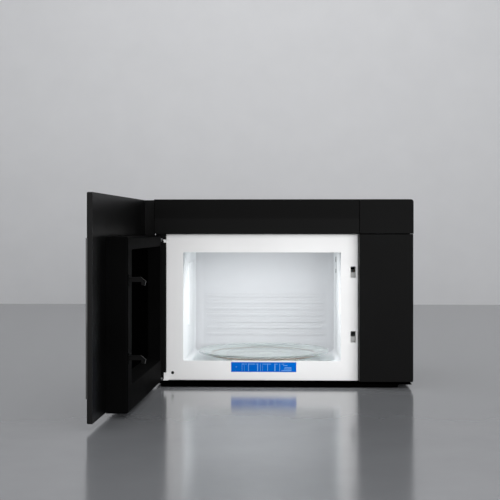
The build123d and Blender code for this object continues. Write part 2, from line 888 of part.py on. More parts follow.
def blower_rotor():
    """Two bladed wheels on the motor's shaft."""
    rim, disc = wheel_rim, wheel_disc
    blade_half = blade_thickness / 2
    blade_z0 = wheel_radius - rim + blade_half
    rotor = rod_x(-wheel_x1, wheel_x1, blower_y, blower_z, rotor_shaft_radius)
    for side in (-1, 1):
        a, b = side * wheel_x0, side * wheel_x1
        x0, x1 = min(a, b), max(a, b)
        hub_x, ring_x = (x0, x1 - disc) if side > 0 else (x1 - disc, x0)
        rotor += rod_x(hub_x, hub_x + disc, blower_y, blower_z, wheel_radius)
        rotor += (rod_x(ring_x, ring_x + disc, blower_y, blower_z, wheel_radius)
                  - rod_x(ring_x, ring_x + disc, blower_y, blower_z, wheel_radius - rim))
        for i in range(blade_count):
            blade = slab(x0 + disc / 2, x1 - disc / 2, -blade_half, blade_half, blade_z0,
                         wheel_radius - blade_half)
            rotor += Pos(0, blower_y, blower_z) * Rot(360 / blade_count * i, 0, 0) * blade
    return rotor


def blower_motor():
    half = blower_motor_width / 2
    motor = rod_x(-half, half, blower_y, blower_z, blower_motor_radius)
    motor += slab(-half, half, blower_y - blower_saddle, blower_y + blower_saddle,
                  cavity_roof + scroll_wall, blower_z)
    return motor - rod_x(-half, half, blower_y, blower_z, rotor_shaft_radius + axle_clearance)


def charcoal_filter():
    """A flat cartridge of granule cells behind the top band."""
    z1 = cavity_roof + charcoal_height
    x0 = cavity_center_x - charcoal_width / 2
    y0 = frame_y + 2 * frame_bend
    y1 = y0 + charcoal_depth
    frame = slab(x0, x0 + charcoal_width, y0, y1, cavity_roof, z1)
    cell = charcoal_width / charcoal_cells
    for i in range(charcoal_cells):
        frame -= slab(x0 + cell * i + charcoal_rib, x0 + cell * (i + 1) - charcoal_rib,
                      y0 + charcoal_rim, y1 - charcoal_rim, z1 - charcoal_pocket, z1)
    return frame


# ================= magnetron and its supply =================

def waveguide():
    y0, y1 = waveguide_y - waveguide_width / 2, waveguide_y + waveguide_width / 2
    z0, z1 = waveguide_z - waveguide_height / 2, waveguide_z + waveguide_height / 2
    tube = slab(liner_right, guide_end, y0, y1, z0, z1)
    tube -= slab(liner_right, guide_end - cavity_wall, y0 + cavity_wall, y1 - cavity_wall,
                 z0 + cavity_wall, z1 - cavity_wall)
    return tube - rod_x(guide_end - cavity_wall, guide_end, waveguide_y, waveguide_z,
                        antenna_radius + antenna_clearance)


def magnetron_frame():
    """The open yoke and its stack of cooling fins."""
    wall = yoke_thickness
    y0, y1 = waveguide_y - magnetron_depth / 2, waveguide_y + magnetron_depth / 2
    z0, z1 = waveguide_z - magnetron_width / 2, waveguide_z + magnetron_width / 2
    yoke = slab(guide_end, magnetron_x1, y0, y1, z0, z1)
    yoke -= slab(guide_end + wall, magnetron_x1 - wall, y0, y1, z0 + wall, z1 - wall)
    pitch = (magnetron_height - fin_room - fin_end_room) / fin_count
    for i in range(fin_count):
        x = guide_end + fin_room + pitch * i
        yoke += slab(x, x + fin_thickness, y0 + wall, y1 - wall, z0 + wall, z1 - wall)
    return yoke - rod_x(guide_end, magnetron_x1 - wall, waveguide_y, waveguide_z, tube_radius)


def magnetron_tube():
    tube = rod_x(guide_end, magnetron_x1 - yoke_thickness, waveguide_y, waveguide_z,
                 tube_radius - tube_clearance)
    return tube + rod_x(guide_end - antenna_length, guide_end, waveguide_y, waveguide_z, antenna_radius)


def transformer_core():
    """Three limbs between two yokes, with a window on each side of the middle one."""
    x, y = transformer_x, transformer_y
    half, d, z1 = transformer_width / 2, core_depth / 2, sheet + transformer_height
    core = slab(x - half, x + half, y - d, y + d, sheet, z1)
    for side in (-1, 1):
        a, b = x + side * core_limb, x + side * (half - core_limb)
        core -= slab(min(a, b), max(a, b), y - d, y + d, sheet + core_limb, z1 - core_limb)
    return core


def transformer_windings():
    """Two coils round the core's middle limb, proud of it at both ends."""
    x, y = transformer_x, transformer_y
    outer, d = transformer_width / 2 - core_limb - winding_gap, transformer_depth / 2
    z0 = sheet + core_limb + winding_gap
    z1 = sheet + transformer_height - core_limb - winding_gap
    coil = slab(x - outer, x + outer, y - d, y + d, z0, z1)
    coil -= slab(x - core_limb, x + core_limb, y - core_depth / 2, y + core_depth / 2, z0, z1)
    middle = (z0 + z1) / 2
    split = 2 * winding_gap
    return coil - slab(x - outer, x - core_limb - split, y - d, y + d, middle - split, middle + split)


def capacitor():
    x0 = transformer_x - capacitor_length / 2
    can = rod_x(x0, x0 + capacitor_length, capacitor_y, capacitor_z, capacitor_radius)
    for side in (-1, 1):
        can += rod_x(x0 - terminal_length, x0, capacitor_y + side * terminal_offset, capacitor_z,
                     terminal_radius)
    return can


def capacitor_clamp():
    x0, x1 = transformer_x - clamp_width / 2, transformer_x + clamp_width / 2
    band = rod_x(x0, x1, capacitor_y, capacitor_z, capacitor_radius + clamp_thickness)
    foot = capacitor_radius + clamp_thickness + clamp_foot
    band += slab(x0, x1, capacitor_y - foot, capacitor_y + foot, sheet, sheet + clamp_thickness)
    return band - rod_x(x0, x1, capacitor_y, capacitor_z, capacitor_radius)


def high_voltage_diode():
    y = capacitor_y - capacitor_radius - diode_gap
    end = transformer_x + diode_length / 2
    body = rod_x(end - diode_length, end, y, sheet + diode_radius, diode_radius)
    return body + slab(end, end + diode_tab, y - diode_radius, y + diode_radius,
                       sheet, sheet + diode_tab_thickness)


def fan_housing():
    """A square shroud with three arms across it that hold the motor."""
    half = fan_size / 2
    box = slab(fan_x - half, fan_x + half, fan_y0, fan_y1, fan_z - half, fan_z + half)
    box -= rod_y(fan_x, fan_y0, fan_y1, fan_z, fan_radius + fan_blade_gap)
    arm_length = 2 * (fan_radius + fan_blade_gap) + sheet
    for angle in (0, 60, 120):
        arm = Rot(0, angle, 0) * Box(arm_length, fan_arm, fan_arm_width)
        box += Pos(fan_x, fan_y0 + fan_arm / 2, fan_z) * arm
    stay = slab(liner_right, fan_x - half, fan_y0, fan_y1, fan_z - fan_stay / 2, fan_z + fan_stay / 2)
    return box + stay - rod_y(fan_x, fan_y0, fan_y0 + fan_arm, fan_z, fan_shaft_radius + fan_blade_gap / 2)


def fan_motor():
    motor = rod_y(fan_x, fan_y0 - fan_motor_length, fan_y0, fan_z, fan_motor_radius)
    well_end = fan_y0 - fan_motor_length / 2 - sheet
    return motor - rod_y(fan_x, well_end, fan_y0, fan_z, fan_shaft_radius + axle_clearance)


def fan_blade():
    """The hub, its shaft into the motor and the pitched blades."""
    hub_y0, hub_y1 = fan_y0 + fan_hub_lift, fan_y1 - fan_arm
    fan = rod_y(fan_x, hub_y0, hub_y1, fan_z, fan_hub_radius)
    fan += rod_y(fan_x, fan_y0 - fan_motor_length / 2, hub_y0, fan_z, fan_shaft_radius)
    blade = Box(fan_radius - fan_hub_radius, fan_blade_thickness, fan_blade_chord)
    blade = Pos((fan_hub_radius + fan_radius) / 2 - 1, 0, 0) * Rot(fan_blade_pitch, 0, 0) * blade
    for i in range(fan_blades):
        turned = Rot(0, 360 / fan_blades * i, 0) * blade
        fan += Pos(fan_x, (hub_y0 + hub_y1) / 2, fan_z) * turned
    return fan


def noise_filter_board():
    """A board on four posts, with its relay, coil and fuse."""
    x0, x1 = supply_board_x, supply_board_x + board_thickness
    y0, y1 = supply_board_y, supply_board_y + supply_board_length
    z0, z1 = supply_board_z, supply_board_z + supply_board_height
    board = slab(x0, x1, y0, y1, z0, z1)
    for y in (y0 + supply_post_inset, y1 - supply_post_inset):
        for z in (z0 + supply_post_inset, z1 - supply_post_inset):
            board += rod_x(x1, right_x - sheet, y, z, supply_post_radius)
    relay_y, relay_z = y0 + relay_length, z0 + supply_post_inset
    board += slab(x0 - relay_depth, x0, relay_y, relay_y + relay_length, relay_z, relay_z + relay_height)
    coil_y = y1 - 2 * choke_coil_radius
    coil_z = z1 - 2 * choke_coil_radius
    board += rod_x(x0 - choke_coil_depth, x0, coil_y, coil_z, choke_coil_radius)
    fuse_y = relay_y + 2 * relay_length
    return board + slab(x0 - fuse_depth, x0, fuse_y, fuse_y + fuse_length, relay_z, relay_z + fuse_height)


def cavity_lamp():
    """A small lamp behind the slots of the right wall."""
    wall = cavity_lamp_wall
    x0, x1 = liner_right, liner_right + cavity_lamp_size
    y0 = waveguide_y + waveguide_width / 2 + cavity_lamp_gap
    y1 = y0 + cavity_lamp_size
    z0 = lower_lamp_slot - cavity_lamp_wall
    z1 = z0 + cavity_lamp_height
    box = slab(x0, x1, y0, y1, z0 - wall, z1)
    box -= slab(x0, x1 - wall, y0 + wall, y1 - wall, z0, z1 - wall)
    return box + rod_x(x0 + cavity_lamp_gap, x1 - wall, (y0 + y1) / 2, (z0 + z1) / 2, cavity_bulb_radius)


def thermal_cutout(place):
    """A disc thermostat with its fixing plate and two blade terminals."""
    blade = cutout_plate_width
    cutout = rod_z(0, 0, 0, cutout_height, cutout_radius)
    cutout += slab(-cutout_plate_length / 2, cutout_plate_length / 2, -cutout_plate_width / 2,
                   cutout_plate_width / 2, 0, sheet)
    for side in (-1, 1):
        x = side * cutout_blade_offset
        cutout += slab(x - sheet / 2, x + sheet / 2, -blade / 4, blade / 4, 0, cutout_height + blade)
    return place * cutout


def thermal_cutouts():
    on_roof = Pos(cavity_x0 + cutout_inset, blower_y - exhaust_depth, cavity_roof)
    on_tube = Pos(magnetron_x1, waveguide_y, waveguide_z) * Rot(0, 90, 0)
    return thermal_cutout(on_roof), thermal_cutout(on_tube)


# ================= door, drawn closed =================

def window_block(y0, y1, grow=0.0):
    block = slab(window_x0 - grow, window_x1 + grow, y0, y1, window_bottom - grow, window_top + grow)
    return rounded(block, Axis.Y, window_round + grow)


def window_flare(grow):
    """The recess round the window, which widens toward the choke's face."""
    outlines = []
    for y, share in ((window_y, 0), (choke_face, 1)):
        x0 = window_x0 - share * flare_hinge - grow
        x1 = window_x1 + share * flare_latch + grow
        z0 = window_bottom - share * flare_bottom - grow
        z1 = window_top + share * flare_top + grow
        middle = Vector((x0 + x1) / 2, y, (z0 + z1) / 2)
        plane = Plane(middle, x_dir=(1, 0, 0), z_dir=(0, -1, 0))
        outlines.append(plane * RectangleRounded(x1 - x0, z1 - z0, window_round + grow))
    return loft(outlines)


def door_panel():
    """The outer tray with its return at the hinge end and the pocket for the glass."""
    tray = slab(door_left, door_right, panel_front, panel_back, door_bottom, door_top)
    tray += slab(door_left, door_left + return_wall, panel_front, hinge_y - return_depth,
                 door_bottom, door_top)
    front_edges = tray.edges().group_by(Axis.Y)[0]
    tray = fillet(front_edges, panel_round)
    tray -= slab(door_left + return_wall, door_right - panel_wall, panel_front + panel_wall, panel_back,
                 door_bottom + panel_wall, door_top - panel_wall)
    pocket_depth = glass_thickness - glass_proud
    tray -= slab(door_left + glass_hinge_inset, door_right - glass_free_inset, panel_front,
                 panel_front + pocket_depth, glass_bottom, glass_top)
    return tray - window_block(panel_front, panel_back)


def door_glass():
    y0 = panel_front - glass_proud
    pane = slab(door_left + glass_hinge_inset, door_right - glass_free_inset, y0, y0 + glass_thickness,
                glass_bottom, glass_top)
    return fillet(pane.edges().group_by(Axis.Y)[0], glass_edge_round)


def door_back_cover():
    """The flat inner cover that closes the tray behind."""
    cover = slab(door_left + return_wall, door_right - panel_wall, panel_back - back_cover, panel_back,
                 door_bottom + panel_wall, door_top - panel_wall)
    return cover - window_block(panel_back - back_cover, panel_back)


def door_choke():
    """The deep box round the window, with two slots for the hooks."""
    block = slab(choke_x0, choke_x1, panel_back, choke_face, choke_bottom, choke_top)
    edges = block.edges()
    inner_rim = edges.group_by(Axis.Y)[-1]
    block = fillet(inner_rim + edges.filter_by(Axis.Y), choke_round)
    hollow = slab(choke_x0 + choke_wall, choke_x1 - choke_wall, panel_back, choke_face - choke_wall,
                  choke_bottom + choke_wall, choke_top - choke_wall)
    hollow -= window_block(panel_back, window_y, choke_wall)
    hollow -= window_flare(choke_wall)
    block -= hollow
    block -= window_block(panel_back, window_y)
    block -= window_flare(0)
    notch_x = choke_x0 + hinge_notch_width
    for z0, z1 in ((choke_bottom, choke_bottom + hinge_notch_height),
                   (choke_top - hinge_notch_height, choke_top)):
        block -= slab(choke_x0, notch_x, panel_back, choke_face, z0, z1)
    for z in slot_centres:
        block -= slab(hook_x0 - hook_room, hook_x1 + hook_room, choke_face - choke_wall, choke_face,
                      z - hook_height / 2 - hook_room, z + hook_height / 2 + hook_travel + hook_room)
    return block


def door_window():
    return window_block(window_y - window_thickness, window_y)


def door_screen():
    """The perforated metal sheet behind the inner window."""
    y1 = window_y - window_thickness
    sheet_face = window_block(y1 - screen_thickness, y1)
    columns = int((window_x1 - window_x0 - screen_pitch) / screen_pitch)
    rows = int((window_top - window_bottom - screen_pitch) / screen_pitch)
    start_x = (window_x0 + window_x1 - (columns - 1) * screen_pitch) / 2
    start_z = (window_bottom + window_top - (rows - 1) * screen_pitch) / 2
    places = [Pos(start_x + i * screen_pitch, y1 - screen_thickness / 2, start_z + j * screen_pitch)
              for i in range(columns) for j in range(rows)]
    holes = [place * Rot(90, 0, 0) * Cylinder(screen_hole_radius, screen_thickness) for place in places]
    return sheet_face - holes


def hook_profile(z):
    """One hook's side view: an arm with a lead-in and a tip that hooks down."""
    y0, tip = bar_y1 - latch_bar_depth, choke_face + hook_reach
    top, bottom = z + hook_height / 2, z - hook_height / 2
    arm = bottom + hook_arm_lift
    lead, nose = hook_tip + hook_lead, hook_arm_lift + hook_lead
    with BuildSketch(Plane.YZ) as sketch:
        with BuildLine():
            Polyline((y0, top), (tip - lead, top), (tip, top - nose), (tip - 2 * hook_lead, bottom),
                     (tip - hook_tip, bottom + hook_lead), (tip - hook_tip, arm), (y0, arm), (y0, top))
        make_face()
    return Pos(hook_x0, 0, 0) * extrude(sketch.sketch, hook_width)


def latch_hooks():
    bar = slab(hook_x0, hook_x1, bar_y1 - latch_bar_depth, bar_y1,
               lower_slot_z - hook_height / 2 + hook_arm_lift, bar_top)
    for z in slot_centres:
        bar += hook_profile(z)
    return bar


def latch_spring():
    """A short return spring between the bar and the roof of the choke box."""
    y = bar_y1 - latch_bar_depth / 2
    z1 = choke_top - choke_wall
    coil = rod_z(latch_x, y, bar_top, z1, spring_radius)
    return coil - rod_z(latch_x, y, bar_top, z1, spring_radius - spring_wall)


def hinge_bracket(ear_z, inward):
    """A steel arm from the pin to the back of the panel."""
    z0 = ear_z + hinge_plate_thickness + ear_gap
    z1 = z0 + bracket_thickness
    end = hinge_x + bracket_length
    arm = slab(hinge_x, end, panel_back, hinge_y + pin_radius, z0, z1)
    arm -= slab(hinge_x, hinge_x + bracket_hub_room, panel_back, hinge_y - hinge_ear_radius, z0, z1)
    arm += rod_z(hinge_x, hinge_y, z0, z1, hinge_ear_radius)
    tab_end = z1 + bracket_tab if inward > 0 else z0 - bracket_tab
    arm += slab(hinge_x + bracket_tab_start, end, panel_back, panel_back + bracket_thickness,
                min(z0, tab_end), max(z1, tab_end))
    return arm - rod_z(hinge_x, hinge_y, z0, z1, pin_radius + pin_clearance)


def touch_board():
    y0 = panel_front + panel_wall
    return slab(touch_x0, touch_x1, y0, y0 + board_thickness, touch_z0, touch_z1)


def display():
    """The display's case with its digits on the inner side."""
    y0 = panel_front + panel_wall + board_thickness
    y1 = y0 + display_thickness
    z1 = touch_z1 - display_top
    z0 = z1 - display_height
    body = slab(touch_x0 + display_side, touch_x1 - display_side, y0, y1, z0, z1)
    digit_z = (z0 + z1 - digit_height) / 2
    for i in range(digit_count):
        x = touch_x0 + display_side + digit_margin + i * digit_pitch
        body += slab(x, x + digit_width, y1, y1 + digit_proud, digit_z, digit_z + digit_height)
    return body


def opened(shape):
    """Turns a door piece from its closed place to the open rest pose."""
    return Pos(hinge_x, hinge_y, 0) * Rot(0, 0, -open_angle) * Pos(-hinge_x, -hinge_y, 0) * shape


# ================= trim and fasteners =================

def frame_label():
    x0 = cavity_center_x + label_offset - label_width / 2
    z1 = mouth_sill - label_drop
    return slab(x0, x0 + label_width, frame_y - label_thickness, frame_y, z1 - label_height, z1)


def frame_screw():
    """A flat cross-head screw low in the front frame."""
    x, z, face = frame_left + frame_screw_inset, frame_bottom + frame_screw_lift, frame_y - frame_screw_height
    head = rod_y(x, face, frame_y, z, screw_head_radius)
    long, narrow = screw_cross_length / 2, screw_cross_width / 2
    cross = slab(x - narrow, x + narrow, face, face + screw_cross_depth, z - long, z + long)
    cross += slab(x - long, x + long, face, face + screw_cross_depth, z - narrow, z + narrow)
    return head - cross


def case_screws():
    """Screw heads along the back of both sides."""
    low, high = pan_top + screw_end_room, body_top - screw_end_room
    heads = []
    for z in (low, (low + high) / 2, high):
        for x0, x1 in ((left_x - screw_head_height, left_x), (right_x, right_x + screw_head_height)):
            heads.append(rod_x(x0, x1, back_y - screw_back_room, z, screw_head_radius))
    return heads


def main():
    os.makedirs("parts", exist_ok=True)
    save("base_pan", base_pan())
    save("grease_filters", grease_filter(left_filter_x), grease_filter(right_filter_x))
    save("lamp_housing", lamp_housing())
    save("lamp_cover", lamp_cover())
    save("cooktop_bulb", cooktop_bulb())
    save("outer_wrapper", outer_wrapper())
    save("cord_gland", cord_gland())
    save("rear_panel", rear_panel())
    save("top_band", top_band())
    save("top_cap", top_cap())
    save("control_column", control_column())
    save("front_frame", front_frame())
    save("cavity_liner", cavity_liner())
    save("waveguide_cover", waveguide_cover())
    save("cavity_vent_cover", cavity_vent_cover())
    save("latch_board", latch_board())
    save("microswitches", *[microswitch(z) for z in switch_heights])
    for name, z in zip(("upper", "lower", "middle"), switch_heights):
        save(f"switch_plunger_{name}", plunger(z))
    save("hinge_plates", hinge_plate(upper_flange_top - upper_flange_height, upper_flange_top, upper_ear_z),
         hinge_plate(lower_ear_z, lower_ear_z + lower_flange_height, lower_ear_z))
    save("hinge_pins", hinge_pin(upper_ear_z), hinge_pin(lower_ear_z))
    save("turntable_glass", turntable_glass())
    save("drive_coupler", drive_coupler())
    save("turntable_motor", turntable_motor())
    save("roller_ring", roller_ring())
    for i in range(3):
        save(f"roller_{i + 1}", roller(i))
    save("blower_housing", blower_housing())
    save("blower_rotor", blower_rotor())
    save("blower_motor", blower_motor())
    save("charcoal_filter", charcoal_filter())
    save("waveguide", waveguide())
    save("magnetron_frame", magnetron_frame())
    save("magnetron_tube", magnetron_tube())
    save("transformer_core", transformer_core())
    save("transformer_windings", transformer_windings())
    save("capacitor", capacitor())
    save("capacitor_clamp", capacitor_clamp())
    save("high_voltage_diode", high_voltage_diode())
    save("fan_housing", fan_housing())
    save("fan_motor", fan_motor())
    save("fan_blade", fan_blade())
    save("noise_filter_board", noise_filter_board())
    save("cavity_lamp", cavity_lamp())
    save("thermal_cutouts", *thermal_cutouts())
    save("frame_label", frame_label())
    save("screws", frame_screw(), *case_screws())
    save("door_panel", opened(door_panel()))
    save("door_glass", opened(door_glass()))
    save("door_back_cover", opened(door_back_cover()))
    save("door_choke", opened(door_choke()))
    save("door_window", opened(door_window()))
    save("door_screen", opened(door_screen()))
    save("latch_hooks", opened(latch_hooks()))
    save("latch_spring", opened(latch_spring()))
    save("hinge_brackets", opened(hinge_bracket(upper_ear_z, -1)), opened(hinge_bracket(lower_ear_z, 1)))
    save("touch_board", opened(touch_board()))
    save("display", opened(display()))


main()
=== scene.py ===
import json
import math

import bmesh
import bpy
from mathutils import Matrix, Vector


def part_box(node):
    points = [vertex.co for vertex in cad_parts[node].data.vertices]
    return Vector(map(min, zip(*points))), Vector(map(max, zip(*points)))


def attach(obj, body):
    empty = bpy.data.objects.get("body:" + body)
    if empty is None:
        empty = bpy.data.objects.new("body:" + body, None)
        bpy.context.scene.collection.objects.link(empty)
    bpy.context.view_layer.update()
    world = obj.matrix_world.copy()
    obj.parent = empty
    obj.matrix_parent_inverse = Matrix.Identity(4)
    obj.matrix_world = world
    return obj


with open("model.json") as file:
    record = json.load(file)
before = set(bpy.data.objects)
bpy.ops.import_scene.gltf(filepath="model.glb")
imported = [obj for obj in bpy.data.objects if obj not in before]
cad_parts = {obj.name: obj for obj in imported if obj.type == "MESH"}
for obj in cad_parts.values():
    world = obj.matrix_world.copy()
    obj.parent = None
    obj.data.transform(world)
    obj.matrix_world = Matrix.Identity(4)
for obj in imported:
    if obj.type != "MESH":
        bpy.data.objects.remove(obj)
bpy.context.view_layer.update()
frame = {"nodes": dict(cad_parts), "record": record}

# ---- the camera's place, in metres and degrees ----
CAMERA_PLACE = (0.0089, -2.7653, 0.3701)
CAMERA_YAW = 1.884
CAMERA_LENS = 79.58
CAMERA_SHIFT_Y = -0.0438

# ---- the lamp's slots in the right wall: inner face and front end, then the ends of each in height ----
LAMP_SLOT_PLACE = (0.1386, 0.112)
LAMP_SLOT_HEIGHTS = ((0.253, 0.264), (0.282, 0.295))
LAMP_SLOT_LENGTH = 0.026
LENS_GAP = 0.0001
LENS_PROUD = 0.0006
LENS_DEPTH = 0.0006

# ---- the ribs of the cavity's back wall ----
CAVITY_BACK = 0.190
RIB_ENDS = (-0.205, 0.107)
RIB_LOWEST = 0.088
RIB_PITCH = 0.0168
RIB_COUNT = 7
RIB_HEIGHT = 0.006
RIB_DEPTH = 0.0003

# ---- the glass plate's rings, above its underside ----
FOOT_RADIUS = 0.130
FOOT_WIDTH = 0.006
FOOT_HEIGHT = 0.0026
FOOT_LIFT = 0.0006
PRESSED_RADII = (0.045, 0.070, 0.092)
PRESSED_WIDTH = 0.003
PRESSED_HEIGHT = 0.0002
PRESSED_LIFT = 0.0045

# ---- the catch plates: the heights they hang below, how far, and their front and back faces ----
CATCH_HEIGHTS = (0.2666, 0.1142)
CATCH_DROPS = (0.0187, 0.0023)
CATCH_FACES = (-0.1216, -0.1209)
CATCH_INSET = 0.0034

# ---- the rivet heads on the hinge plates' flanges ----
RIVET_PLACES = ((-0.2745, 0.0165), (-0.2745, 0.0240), (-0.2745, 0.3395))
RIVET_FACE = -0.1601
RIVET_RADIUS = 0.0017
RIVET_FLATNESS = 0.45

# ---- the grease filters' weave ----
FILTER_WIDTH = 0.14
FILTER_RIM = 0.009
WIRE_SIZE = 0.0006
WIRE_PITCH = 0.005

# ---- the label's marks: the share of its width where each starts, then its size or length ----
LABEL_RELIEF = 0.0002
LABEL_BARS = ((0.165, 0.0008), (0.20, 0.0006), (0.262, 0.0016), (0.40, 0.0022), (0.447, 0.0009),
              (0.48, 0.0005), (0.555, 0.0014), (0.665, 0.0024), (0.742, 0.0013))
BAR_MARGINS = (0.002, 0.003)
LABEL_DASHES = ((0.17, 0.005), (0.215, 0.004), (0.275, 0.014), (0.38, 0.006), (0.49, 0.009),
                (0.565, 0.007), (0.66, 0.008))
DASH_DROPS = (0.0052, 0.0036)
# the third number is the height above the label's lower edge
LABEL_LINES = ((0.07, 0.003, 0.011), (0.775, 0.006, 0.018), (0.80, 0.010, 0.0145),
               (0.82, 0.016, 0.0095), (0.81, 0.018, 0.0065), (0.77, 0.024, 0.003))
LINE_HEIGHT = 0.0015

# ---- where one piece's painted light or shade changes along an axis ----
BAND_REFLECTION_SPLIT = ("Z", 0.3935, 0.3915)
HINGE_EAR_SHADE_SPLIT = ("X", -0.2812, -0.2802)
# where the painted shade on the cavity's back wall begins
BACK_WALL_SHADE_SPLIT = ("Y", CAVITY_BACK - 0.02, CAVITY_BACK)
SCREEN_PITCH = 0.0036

# ---- lights: name, place, target, size, power, and whether glossy things mirror it ----
LIGHTS = (
    ("key_light", (1.0, -2.6, 0.42), (-0.02, 0, 0.22), (1.3, 1.1), 27, True),
    ("left_fill", (-1.1, -2.9, 0.42), (0.05, 0, 0.22), (1.2, 1.0), 17, True),
    ("front_fill", (0.1, -3.0, 0.45), (-0.05, 0.1, 0.2), (1.2, 1.0), 22, True),
    ("top_fill", (0, -0.6, 2.4), (0, 0, 0.3), (1.6, 1.6), 14, True),
    ("wall_light", (0, 1.3, 2.8), (0, 2.6, 1.0), (2.4, 2.4), 16, True),
    ("cavity_fill", (-0.045, -0.12, 0.292), (-0.045, 0.0, 0.03), (0.1, 0.04), 0.9, False),
    ("cavity_back_fill", (-0.049, -0.13, 0.295), (-0.049, 0.19, 0.26), (0.06, 0.012), 0.08, False),
)

# ---- the stage ----
FLOOR_HEIGHT = -0.0004
STAGE_HALF = 4
FLOOR_FRONT = -4.5
WALL_PLACE = 2.6
WALL_HEIGHT = 5

# ---- pieces that look a little unlike the rest of their slot ----
# the lamp housing wears the pan's black as painted shade for the dark gap under the frame; the base pan's black
# is its own
OWN_LOOK = {"top_band": "band_painted_reflection", "hinge_plates": "hinge_painted_shade", "lamp_housing": "black_pan_and_gap_shade",
            "base_pan": "black_pan_and_gap_shade", "latch_hooks": "hook_gloss", "screws": "black_plastic",
            "door_panel": "door_black", "door_back_cover": "door_black"}


# ================= materials =================

def shader(name, roughness, metallic=0.0, **sockets):
    """A node material with its shader, ready for textures."""
    mat = bpy.data.materials.new(name)
    mat.use_nodes = True
    bsdf = mat.node_tree.nodes["Principled BSDF"]
    bsdf.inputs["Roughness"].default_value = roughness
    bsdf.inputs["Metallic"].default_value = metallic
    for socket, value in sockets.items():
        bsdf.inputs[socket.replace("_", " ")].default_value = value
    return mat


def add(mat, kind, **values):
    """A new node, with each value set on the node itself or on its socket."""
    node = mat.node_tree.nodes.new(kind)
    for key, value in values.items():
        if hasattr(node, key):
            setattr(node, key, value)
        else:
            node.inputs[key.replace("_", " ")].default_value = value
    return node


def link(mat, out, into):
    mat.node_tree.links.new(out, into)


def noise(mat, scale, detail=4.0, stretch=(1.0, 1.0, 1.0)):
    """A noise texture in the piece's own metres."""
    place = add(mat, "ShaderNodeTexCoord")
    mapping = add(mat, "ShaderNodeMapping")
    mapping.inputs["Scale"].default_value = stretch
    link(mat, place.outputs["Object"], mapping.inputs["Vector"])
    texture = add(mat, "ShaderNodeTexNoise", Scale=scale, Detail=detail)
    link(mat, mapping.outputs["Vector"], texture.inputs["Vector"])
    return texture.outputs["Fac"]


def tint(mat, factor, dark, light):
    """Colours the surface between two tones."""
    ramp = add(mat, "ShaderNodeValToRGB")
    ramp.color_ramp.elements[0].position, ramp.color_ramp.elements[1].position = 0.3, 0.7
    ramp.color_ramp.elements[0].color = (*dark, 1)
    ramp.color_ramp.elements[1].color = (*light, 1)
    link(mat, factor, ramp.inputs["Fac"])
    link(mat, ramp.outputs["Color"], mat.node_tree.nodes["Principled BSDF"].inputs["Base Color"])


def vary(mat, factor, low, high):
    """Runs the roughness between two values."""
    span = add(mat, "ShaderNodeMapRange")
    span.inputs["To Min"].default_value, span.inputs["To Max"].default_value = low, high
    link(mat, factor, span.inputs["Value"])
    link(mat, span.outputs["Result"], mat.node_tree.nodes["Principled BSDF"].inputs["Roughness"])


def bump(mat, factor, strength, distance):
    """A fine grain in the surface, which changes no outline."""
    node = add(mat, "ShaderNodeBump", Strength=strength, Distance=distance)
    link(mat, factor, node.inputs["Height"])
    link(mat, node.outputs["Normal"], mat.node_tree.nodes["Principled BSDF"].inputs["Normal"])


def coated(name, dark, light, rough, grain, depth, metallic=0.0, stretch=(1, 1, 1), pattern=None, **sockets):
    """Paint, moulding or plate: two tones in a soft cloud or a pattern, varied gloss and a fine grain."""
    mat = shader(name, sum(rough) / 2, metallic, **sockets)
    tint(mat, pattern(mat) if pattern else noise(mat, 9.0, 3.0), dark, light)
    vary(mat, noise(mat, 35.0, 5.0, stretch), *rough)
    bump(mat, noise(mat, grain, 2.0, stretch), 0.2, depth)
    return mat


def black(name, tone, rough, gloss, grain=1400, depth=0.00002):
    """A near-black moulding, whose gloss sets how much of the studio it shows."""
    return coated(name, (tone, tone, tone), (tone * 1.5, tone * 1.5, tone * 1.55), rough, grain, depth,
                  Specular_IOR_Level=gloss)


def glass(name, colour, roughness):
    """Clear glass with a faint tint."""
    mat = shader(name, roughness, IOR=1.3, Transmission_Weight=0.85)
    tint(mat, noise(mat, 6.0, 2.0), tuple(0.96 * c for c in colour), colour)
    return mat


def along(mat, axis, start, end):
    """Rises from 0 to 1 between two places on one of the piece's axes."""
    place = add(mat, "ShaderNodeTexCoord")
    split = add(mat, "ShaderNodeSeparateXYZ")
    link(mat, place.outputs["Object"], split.inputs["Vector"])
    span = add(mat, "ShaderNodeMapRange", interpolation_type="SMOOTHSTEP")
    span.inputs["From Min"].default_value, span.inputs["From Max"].default_value = start, end
    link(mat, split.outputs[axis], span.inputs["Value"])
    return span.outputs["Result"]


def lattice(mat, axes, pitch):
    """1 on the wires and 0 in the holes of a square grid along two of the piece's axes."""
    place = add(mat, "ShaderNodeTexCoord")
    split = add(mat, "ShaderNodeSeparateXYZ")
    link(mat, place.outputs["Object"], split.inputs["Vector"])
    waves = []
    for axis in axes:
        turn = add(mat, "ShaderNodeMath", operation="MULTIPLY")
        turn.inputs[1].default_value = 2 * math.pi / pitch
        link(mat, split.outputs[axis], turn.inputs[0])
        wave = add(mat, "ShaderNodeMath", operation="SINE")
        link(mat, turn.outputs[0], wave.inputs[0])
        waves.append(wave)
    product = add(mat, "ShaderNodeMath", operation="MULTIPLY")
    link(mat, waves[0].outputs[0], product.inputs[0])
    link(mat, waves[1].outputs[0], product.inputs[1])
    return product.outputs[0]


